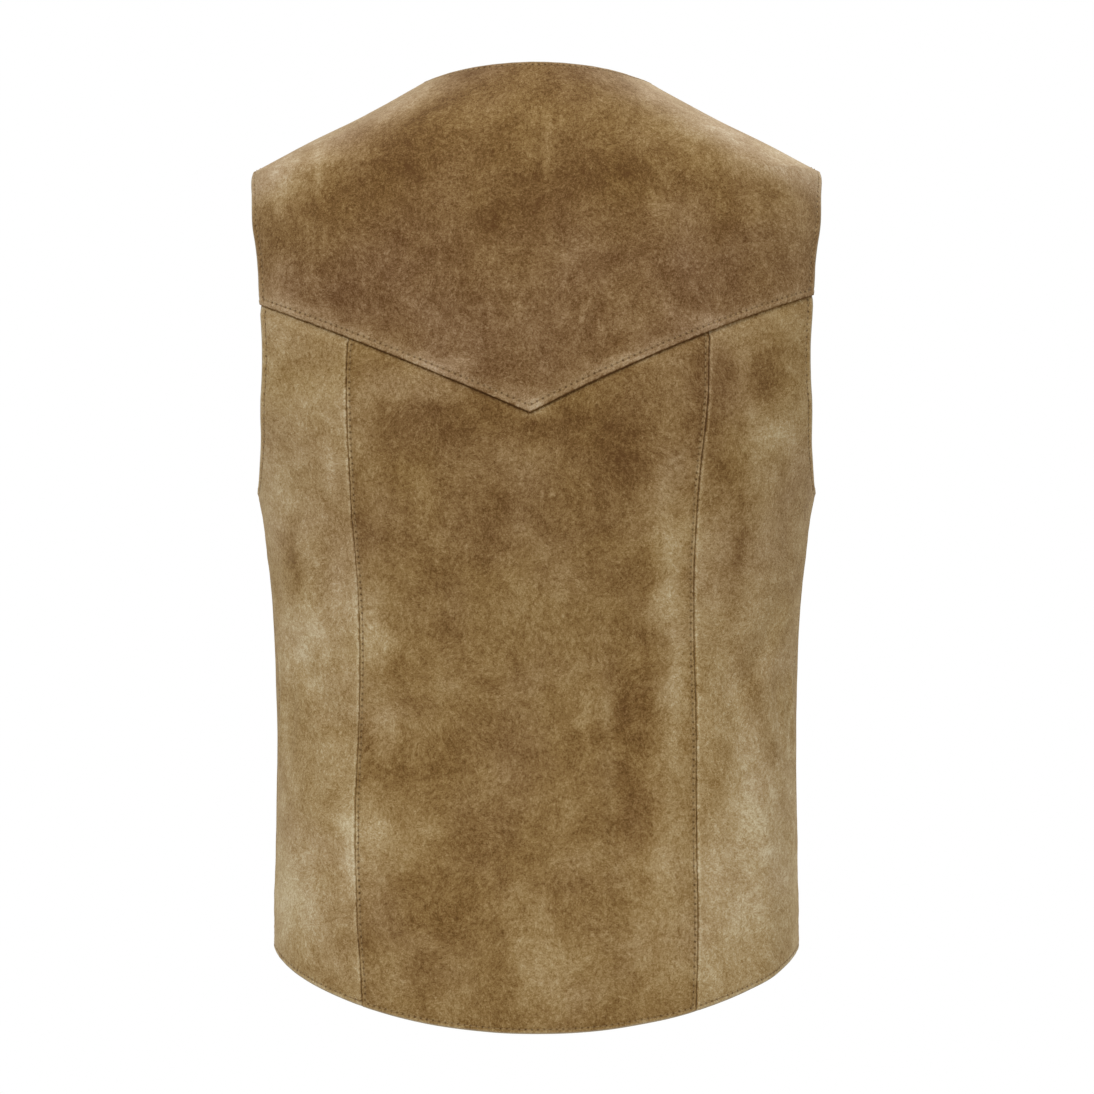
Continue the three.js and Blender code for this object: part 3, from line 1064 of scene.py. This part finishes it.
def sew(name, panel_name, numbers, facing=1):
    panel = panels[panel_name]
    spots, faces, dives = [], [], []
    for number in numbers:
        middle, along = row_places(panel, number)
        if not len(middle):
            continue
        top, out = skin(panel, middle)
        if facing < 0:
            top = top - out * leather
            out = -out
        aside = np.cross(out, along)
        reach = stitch_length * 0.5 * bar_share
        for place, forward, up, side in zip(top, along, out, aside):
            first = len(spots) * len(bar)
            sink = stands_up - dives_down * dive
            spots.append(
                place
                + forward * (along_bar * reach)[:, None]
                + up * (bar[:, 0] + sink)[:, None]
                + side * bar[:, 1][:, None]
            )
            faces += [tuple(first + v for v in face) for face in bar_faces]
            dives.append(dive)
    mesh = bpy.data.meshes.new(name)
    mesh.from_pydata(np.concatenate(spots) * MM, [], faces)
    piece = bpy.data.objects.new(name, mesh)
    bpy.context.collection.objects.link(piece)
    use(piece)
    bpy.ops.object.mode_set(mode="EDIT")
    bpy.ops.mesh.select_all(action="SELECT")
    bpy.ops.mesh.normals_make_consistent(inside=False)
    bpy.ops.object.mode_set(mode="OBJECT")
    bpy.ops.object.shade_smooth()
    save_attribute(mesh, "dive", np.concatenate(dives))
    print(name, len(spots), "stitches")
    return piece


threads = []
for panel_name in list(panels):
    rows = [i for i, (kind, _) in enumerate(panels[panel_name]["lines"]) if line_kinds[kind][0]]
    sewn = [
        sew(panel_name.replace("_suede", "_topstitch"), panel_name, rows),
        sew(panel_name.replace("_suede", "_bobbin_side"), panel_name, rows, facing=-1),
    ]
    panels[panel_name]["threads"] = sewn
    threads += sewn

# %% [markdown]
# ## Snaps
# Four snaps close the front. The cap is stamped brass with a raised rim round a low dome, tumbled
# and darkened so that only its high places shine. Inside sits the flat head of the post. Each is
# a disc whose top face is inset and raised ring by ring, as a stamping die would do it.
# %% Snap caps and posts
snap_levels = (-247, -337, -427, -517)
cap_rings = (
    # radius, height
    (6.35, 0.5),
    (6.5, 0.8),
    (6.45, 1.15),
    (6.25, 1.55),
    (5.9, 1.78),
    (5.5, 1.8),
    (5.15, 1.68),
    (4.85, 1.5),
    (4.5, 1.52),
    (4.1, 1.75),
    (3.4, 2.1),
    (2.4, 2.4),
    (1.2, 2.56),
)
post_rings = ((4.5, 0.35), (4.4, 0.65), (4.1, 0.88), (3.6, 1.0), (1.6, 0.92), (0.8, 0.86))
foot_inset = 0.15  # a stamped part's foot is this much narrower than its first ring
cap_stands_off, post_stands_off = 0.3, 0.4
crisp_turn = math.radians(35)


def stamp(name, rings, height, lift, facing):
    """A disc on the centre front, raised ring by ring, facing out (1) or into the vest (-1)."""
    base = rings[0][0] - foot_inset
    foot = rings[0][1] * 0.5
    bpy.ops.mesh.primitive_cylinder_add(vertices=40, radius=base * MM, depth=foot * MM)
    piece = bpy.context.object
    piece.name = piece.data.name = name
    bpy.ops.object.mode_set(mode="EDIT")
    bpy.ops.mesh.select_all(action="DESELECT")
    bpy.ops.object.mode_set(mode="OBJECT")
    for face in piece.data.polygons:
        face.select = face.normal.z > 0.9
    low = foot / 2
    bpy.ops.object.mode_set(mode="EDIT")
    for radius, rise in rings:
        bpy.ops.mesh.extrude_region_move(TRANSFORM_OT_translate={"value": (0, 0, (rise - low) * MM)})
        share = radius / base
        bpy.ops.transform.resize(value=(share, share, 1))
        base, low = radius, rise
    bpy.ops.mesh.inset(thickness=base * 0.6 * MM, depth=0.02 * MM)
    bpy.ops.object.mode_set(mode="OBJECT")
    spots = places(piece.data) / MM
    spots[:, 2] += foot / 2
    ring = np.hypot(spots[:, 0], spots[:, 1])
    bearing = -math.pi / 2
    out = outward(np.array([bearing]), np.array([height]))[0]
    seat = on_form(np.array([bearing]), np.array([float(height)]))[0] + out * lift
    up = out * facing
    right = np.array([1.0, 0, 0])
    third = np.cross(up, right)
    turned = seat + spots[:, :1] * right + spots[:, 1:2] * third + spots[:, 2:] * up
    piece.data.vertices.foreach_set("co", (turned * MM).ravel())
    piece.data.update()
    use(piece)
    bpy.ops.object.shade_smooth_by_angle(angle=crisp_turn)
    save_attribute(piece.data, "ring", ring)
    return piece


snaps = []
for number, height in enumerate(snap_levels, 1):
    cap = stamp(f"cap_{number}", cap_rings, height, lap_lift + cap_stands_off, 1)
    post = stamp(f"post_{number}", post_rings, height, -leather - post_stands_off, -1)
    snaps += [(f"snap_cap_{number}", cap), (f"snap_post_{number}", post)]
print(len(snaps), "snap pieces")

# %% [markdown]
# ## Finishes
# Every finish is made of nodes. One function turns a colour given in hex into the linear values
# that the shader works in, and one adds a node with its settings and links.
# %% Colour and node helpers
def linear(hex_colour):
    parts = [int(hex_colour[i : i + 2], 16) / 255 for i in (0, 2, 4)]
    return tuple(v / 12.92 if v <= 0.04045 else ((v + 0.055) / 1.055) ** 2.4 for v in parts) + (1,)


def fill_ramp(elements, stops):
    """A colour ramp's stops, as places and colours."""
    while len(elements) < len(stops):
        elements.new(0.5)
    for element, (place, hex_colour) in zip(elements, stops):
        element.position = place
        element.color = linear(hex_colour)


def add(tree, kind, links=None, out=0, stops=None, **settings):
    """Adds a node and gives back one of its outputs.

    links gives each input a value or another node's output.
    """
    node = tree.nodes.new("ShaderNode" + kind)
    for name, value in settings.items():
        setattr(node, name, value)
    for name, value in (links or {}).items():
        if isinstance(value, bpy.types.NodeSocket):
            tree.links.new(value, node.inputs[name])
        else:
            node.inputs[name].default_value = value
    if stops:
        fill_ramp(node.color_ramp.elements, stops)
    return node.outputs[out] if node.outputs else None


def blank(name):
    material = bpy.data.materials.new(name)
    material.use_nodes = True
    material.node_tree.nodes.clear()
    return material, material.node_tree


# %% [markdown]
# The hide is cow suede: the flesh side of the leather, buffed until it has a short nap. That
# gives a dry surface with no shine, a soft glow where it turns away, cloudy patches some 60 mm
# across, finer mottling of 15 to 20 mm, and brushed strokes a few millimetres long. The real
# fibres are a tenth of a millimetre, so they are drawn at 1.3 mm to show at this distance.
# %% Napped cow suede
olive_stops = [
    (0.0, "583B1A"),
    (0.22, "73562D"),
    (0.375, "866A3F"),
    (0.54, "977E54"),
    (0.7, "A79068"),
    (1.0, "C6B898"),
]
rosy_stops = [
    (0.0, "583A1D"),
    (0.22, "715435"),
    (0.375, "846849"),
    (0.54, "977D5E"),
    (0.7, "A88F71"),
    (1.0, "C6B79F"),
]


def napped_suede(name, base_tone):
    material, tree = blank(name)
    place = add(tree, "TexCoord", out="Object")
    drift = add(tree, "TexNoise", {"Vector": place, "Scale": 14.0, "Detail": 2.0}, out="Color")
    warped = {0: drift, 1: (0.03, 0.03, 0.03), 2: place}
    shift = add(tree, "VectorMath", warped, operation="MULTIPLY_ADD")
    brushed = add(tree, "Mapping", {"Vector": shift, "Scale": (1.0, 1.0, 0.85)})

    def mixed_in(amount, source, value):
        """value, with this much of a noise around its middle of 0.5 added."""
        centred = add(tree, "Math", {0: source, 1: 0.5}, operation="SUBTRACT")
        return add(tree, "Math", {0: centred, 1: amount, 2: value}, operation="MULTIPLY_ADD")

    # tone: patches and wear of the nap, with painted highlight on the shoulders and along creases
    patches_and_painted_light = add(tree, "Attribute", out="Fac", attribute_name="tone")
    value = add(tree, "Math", {0: patches_and_painted_light, 1: base_tone}, operation="ADD")
    layers = []
    for spot, scale, detail, roughness, amount in (
        (shift, 22.0, 4.0, 0.5, 0.5),  # clouds
        (shift, 75.0, 5.0, 0.6, 0.52),  # mottling
        (brushed, 380.0, 4.0, 0.65, 0.6),  # strokes
        (place, 900.0, 3.0, 0.75, 0.6),  # fibres
    ):
        grain = {"Vector": spot, "Scale": scale, "Detail": detail, "Roughness": roughness}
        layers.append(add(tree, "TexNoise", grain))
        value = mixed_in(amount, layers[-1], value)
    stroke, fibre = layers[2:]

    def curls(scale, amount):
        """Thin curling lines, along which a noise passes through its middle."""
        grain = {"Vector": shift, "Scale": scale, "Detail": 2.0, "Distortion": 0.8}
        off = add(tree, "Math", {0: add(tree, "TexNoise", grain), 1: 0.5}, operation="SUBTRACT")
        gap = add(tree, "Math", {0: off}, operation="ABSOLUTE")
        span = {"Value": gap, "From Min": 0.0, "From Max": 0.055, "To Min": amount, "To Max": 0.0}
        return add(tree, "MapRange", span)

    def band(name, near, far, strongest, fray=2.2):
        """An amount that is strongest up to near and gone from far on, in mm from a line.

        The line wavers by a part of fray, so that no band has an even width.
        """
        distance = mixed_in(fray, stroke, add(tree, "Attribute", out="Fac", attribute_name=name))
        span = {"Value": distance, "From Min": near, "From Max": far, "To Min": strongest, "To Max": 0.0}
        return add(tree, "MapRange", span, interpolation_type="SMOOTHSTEP")

    # Nap is rubbed paler beside a seam, along a free edge and above the yoke's edge. Painted shade
    # darkens the seam's groove, the yoke's very edge and the panels just under it
    for operation, amount in (
        ("ADD", curls(330.0, -0.17)),
        ("ADD", curls(450.0, 0.17)),
        ("ADD", band("seam", 1.0, 3.0, 0.13)),
        ("ADD", band("edge", 0.8, 4.0, 0.14)),
        ("ADD", band("lap", 3.0, 10.0, 0.14)),
        ("ADD", band("lap", 6.0, 19.0, 0.08)),
        # painted shade: in each seam's groove, along the yoke's lower edge and in a line below it
        ("SUBTRACT", band("seam", 0.2, 1.3, 0.36)),
        ("SUBTRACT", band("lap", 0.1, 0.9, 0.3)),
        ("SUBTRACT", band("below_yoke", 0.3, 1.8, 0.4)),
    ):
        value = add(tree, "Math", {0: value, 1: amount}, operation=operation)
    # The dye took olive in some parts of the hide and rosy in others
    olive = add(tree, "ValToRGB", {"Fac": value}, stops=olive_stops)
    rosy = add(tree, "ValToRGB", {"Fac": value}, stops=rosy_stops)
    dye = add(tree, "TexNoise", {"Vector": shift, "Scale": 17.0, "Detail": 3.0})
    hue = mixed_in(1.3, dye, add(tree, "Attribute", out="Fac", attribute_name="rosy"))
    dyes = {0: hue, 6: olive, 7: rosy}
    colour = add(tree, "Mix", dyes, out=2, data_type="RGBA", clamp_factor=True)

    # Needle holes: painted shade as dark dots along the stitch rows, one at each end of every stitch
    run = add(tree, "Attribute", out="Fac", attribute_name="row_run")
    off = add(tree, "Attribute", out="Fac", attribute_name="row_off")
    turns = add(tree, "Math", {0: run, 1: 1 / stitch_length, 2: 0.5}, operation="MULTIPLY_ADD")
    saw = add(tree, "Math", {0: turns}, operation="FRACT")
    middle = add(tree, "Math", {0: saw, 1: 0.5}, operation="SUBTRACT")
    step = add(tree, "Math", {0: middle, 1: stitch_length}, operation="MULTIPLY")
    flat = add(tree, "CombineXYZ", {"X": step, "Y": off, "Z": 0.0})
    away = add(tree, "VectorMath", {0: flat}, out="Value", operation="LENGTH")
    span = {"Value": away, "From Min": 0.3, "From Max": 1.1, "To Min": 1.0, "To Max": 0.0}
    hole = add(tree, "MapRange", span, interpolation_type="SMOOTHSTEP")
    # Nap hides some of the holes
    span = {"Value": stroke, "From Min": 0.3, "From Max": 0.62, "To Min": 1.0, "To Max": 0.45}
    shown = add(tree, "MapRange", span)
    dot = add(tree, "Math", {0: hole, 1: shown}, operation="MULTIPLY")
    hole_shaded = add(tree, "Mix", {0: dot, 6: colour, 7: linear("4E3418")}, out=2, data_type="RGBA")

    # The cut edge shows the paler, greyer core of the hide
    core = {0: band("edge", 0.3, 1.2, 0.75, 0.5), 6: hole_shaded, 7: linear("978B76")}
    edged = add(tree, "Mix", core, out=2, data_type="RGBA")

    # Nap and needle holes as relief
    nap = add(tree, "Math", {0: stroke, 1: fibre}, operation="ADD")
    height = add(tree, "Math", {0: dot, 1: -1.2, 2: nap}, operation="MULTIPLY_ADD")
    bump = add(tree, "Bump", {"Height": height, "Strength": 0.6, "Distance": 0.0006})
    finish = {
        "Base Color": edged,
        "Roughness": 0.93,
        "Specular IOR Level": 0.15,
        "Sheen Weight": 0.4,
        "Sheen Roughness": 0.4,
        "Sheen Tint": linear("D8C8A8"),
        "Normal": bump,
    }
    add(tree, "OutputMaterial", {"Surface": add(tree, "BsdfPrincipled", finish)})
    return material


# The record's slot and the panel's base tone
suede_finishes = {
    "yoke_suede": ("suede_yoke", 0.24),
    "centre_back_suede": ("suede_back", 0.325),
    "side_back_left_suede": ("suede_side", 0.54),
    "side_back_right_suede": ("suede_side", 0.5),
    "front_left_suede": ("suede_front", 0.38),
    "front_right_suede": ("suede_front", 0.38),
}
for name, (_, base_tone) in suede_finishes.items():
    panels[name]["piece"].data.materials.append(napped_suede(f"napped_{name}", base_tone))
# The allowances get a darker tone than the panels: painted shade for what shows of them through a seam's
# gap
strip_suede = napped_suede("napped_seam_allowance", 0.2)
for strip, _ in strips:
    strip.data.materials.append(strip_suede)
print(len(suede_finishes), "suede finishes")

# %% [markdown]
# The thread is bonded polyester, a round twisted yarn with a slight shine. It is dyed to match
# the hide and looks a little paler where it stands in the light. Where it dives into the leather,
# its colour is darkened with painted shade, so its colour follows the stitch from the middle to
# the ends.
# %% Bonded polyester thread
thread, tree = blank("bonded_polyester_thread")
dives_at = add(tree, "Attribute", out="Fac", attribute_name="dive")
place = add(tree, "TexCoord", out="Object")
soil = add(tree, "TexNoise", {"Vector": place, "Scale": 90.0, "Detail": 2.0})
clean = add(tree, "ValToRGB", {"Fac": soil}, stops=[(0.3, "7F643B"), (0.7, "A18659")])
shaded_ends = {0: dives_at, 6: clean, 7: linear("46311A")}
colour = add(tree, "Mix", shaded_ends, out=2, data_type="RGBA")
twist = add(tree, "TexNoise", {"Vector": place, "Scale": 2400.0, "Detail": 1.0})
bump = add(tree, "Bump", {"Height": twist, "Strength": 0.4, "Distance": 0.0002})
finish = {"Base Color": colour, "Roughness": 0.6, "Specular IOR Level": 0.35, "Normal": bump}
add(tree, "OutputMaterial", {"Surface": add(tree, "BsdfPrincipled", finish)})
for piece in threads:
    piece.data.materials.append(thread)
print(len(threads), "sewn rows of thread")

# %% [markdown]
# The snaps are stamped brass, tumbled with a dark lacquer and rubbed back. The lacquer stays in
# the valley inside the rim, so the colour follows the distance from the middle of the cap. The
# tumbling leaves fine scratches, which only change the roughness.
# %% Antique brass
brass, tree = blank("tumbled_antique_brass")
place = add(tree, "TexCoord", out="Object")
ring = add(tree, "Attribute", out="Fac", attribute_name="ring")
span = {"Value": ring, "From Min": 3.2, "From Max": 4.8, "To Min": 0.0, "To Max": 1.0}
valley = add(tree, "MapRange", span)
span = {"Value": ring, "From Min": 5.0, "From Max": 5.6, "To Min": 1.0, "To Max": 0.0}
rim = add(tree, "MapRange", span)
lacquer = add(tree, "Math", {0: valley, 1: rim}, operation="MULTIPLY")
smear = add(tree, "TexNoise", {"Vector": place, "Scale": 420.0, "Detail": 5.0})
patchy = add(tree, "Math", {0: smear, 1: 0.7, 2: lacquer}, operation="MULTIPLY_ADD")
tarnish_stops = [(0.25, "B08D57"), (0.5, "8C6C3E"), (0.9, "3E2F1C")]
tarnish = add(tree, "ValToRGB", {"Fac": patchy}, stops=tarnish_stops)
scratch = add(tree, "TexNoise", {"Vector": place, "Scale": 1900.0, "Detail": 3.0})
span = {"Value": scratch, "From Min": 0.3, "From Max": 0.7, "To Min": 0.28, "To Max": 0.5}
rough = add(tree, "MapRange", span)
finish = {"Base Color": tarnish, "Metallic": 1.0, "Roughness": rough}
add(tree, "OutputMaterial", {"Surface": add(tree, "BsdfPrincipled", finish)})
for _, piece in snaps:
    piece.data.materials.append(brass)
print(len(snaps), "pieces of brass")

# %% [markdown]
# ## The studio
# The photograph is a catalogue picture: pure white all round and very soft light. A pale world
# lights the vest from everywhere, and a large white sphere round the studio is what the camera
# sees behind it; the sphere itself gives no light. A wide lamp above the camera adds form, and the
# floor is a pale disc far below, where a stand would put it.
# %% World, backdrop, lamps and floor
world = bpy.data.worlds.new("pale_studio")
bpy.context.scene.world = world
world.use_nodes = True
world.node_tree.nodes["Background"].inputs["Color"].default_value = (1, 1, 1, 1)
world.node_tree.nodes["Background"].inputs["Strength"].default_value = 0.62
bpy.context.scene.view_settings.view_transform = "Standard"

bpy.ops.mesh.primitive_uv_sphere_add(segments=48, ring_count=24, radius=9)
backdrop = bpy.context.object
backdrop.name = "white_backdrop"
backdrop.visible_diffuse = False
backdrop.visible_glossy = False
backdrop.visible_transmission = False
backdrop.visible_shadow = False
glow, tree = blank("white_backdrop_paper")
paper = add(tree, "Emission", {"Color": (1, 1, 1, 1), "Strength": 1.0})
add(tree, "OutputMaterial", {"Surface": paper})
backdrop.data.materials.append(glow)

middle = Vector((0, 0, -0.29))


def softbox(name, spot, size, watts):
    bpy.ops.object.light_add(type="AREA", location=spot)
    lamp = bpy.context.object
    lamp.name = name
    lamp.data.size = size
    lamp.data.energy = watts
    lamp.rotation_euler = (Vector(spot) - middle).to_track_quat("Z", "Y").to_euler()
    return lamp


softbox("key_softbox", (1.5, 2.5, 1.9), 1.5, 52)
softbox("top_softbox", (0, 0.5, 2.4), 1.6, 18)
softbox("fill_softbox", (-2.4, 2.2, 0.4), 1.8, 14)
softbox("front_softbox", (-1.4, -2.6, 1.6), 1.6, 50)

floor_level = -1.2
bpy.ops.mesh.primitive_circle_add(vertices=96, radius=1.2, fill_type="NGON", location=(0, 0, floor_level))
floor = bpy.context.object
floor.name = "studio_floor"
paint, tree = blank("matt_white_floor_paint")
surface = add(tree, "BsdfPrincipled", {"Base Color": linear("F4F3F0"), "Roughness": 0.8})
add(tree, "OutputMaterial", {"Surface": surface})
floor.data.materials.append(paint)
print("floor", floor_level, "m below the shoulders")

# %% [markdown]
# ## Bodies and cut sizes
# Each panel, strip, row of stitches and snap now rides on the root body, and the solid that a
# panel or snap stands for is hidden. The size that each panel was cut to is printed.
# %% Pieces, bodies and sheets
lies_on = {
    # panel: the solid that it stands for, and the solids that it lies on
    "yoke_suede": (
        "back_yoke",
        ["centre_back", "side_back_left", "side_back_right", "front_left", "front_right"],
    ),
    "centre_back_suede": ("centre_back", ["back_yoke"]),
    "side_back_left_suede": ("side_back_left", ["back_yoke"]),
    "side_back_right_suede": ("side_back_right", ["back_yoke"]),
    "front_left_suede": ("front_left", ["back_yoke", "side_back_left"]),
    "front_right_suede": ("front_right", ["back_yoke", "side_back_right"]),
}


def flat_cut(grid):
    """Width, length and area of a panel laid flat, in metres: its longest row and column."""
    across = np.diff(grid, axis=1)
    up = np.diff(grid, axis=0)
    width = np.linalg.norm(across, axis=2).sum(axis=1).max() * MM
    length = np.linalg.norm(up, axis=2).sum(axis=0).max() * MM
    cells = np.linalg.norm(np.cross(across[:-1], up[:, :-1]), axis=2)
    return float(width), float(length), float(cells.sum() * MM * MM)


for name, (node, under) in lies_on.items():
    piece = panels[name]["piece"]
    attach(piece, "root")
    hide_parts(node)
    width, length, area = flat_cut(panels[name]["grid"])
    length = max(length, area / width)  # the rectangle is never smaller than the panel
    print(f"{name}: cut {width * 1000:.0f} x {length * 1000:.0f} mm, {area * 10000:.0f} cm2")
for piece in [strip for strip, _ in strips] + threads:
    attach(piece, "root")
for node, piece in snaps:
    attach(piece, "root")
    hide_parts(node)
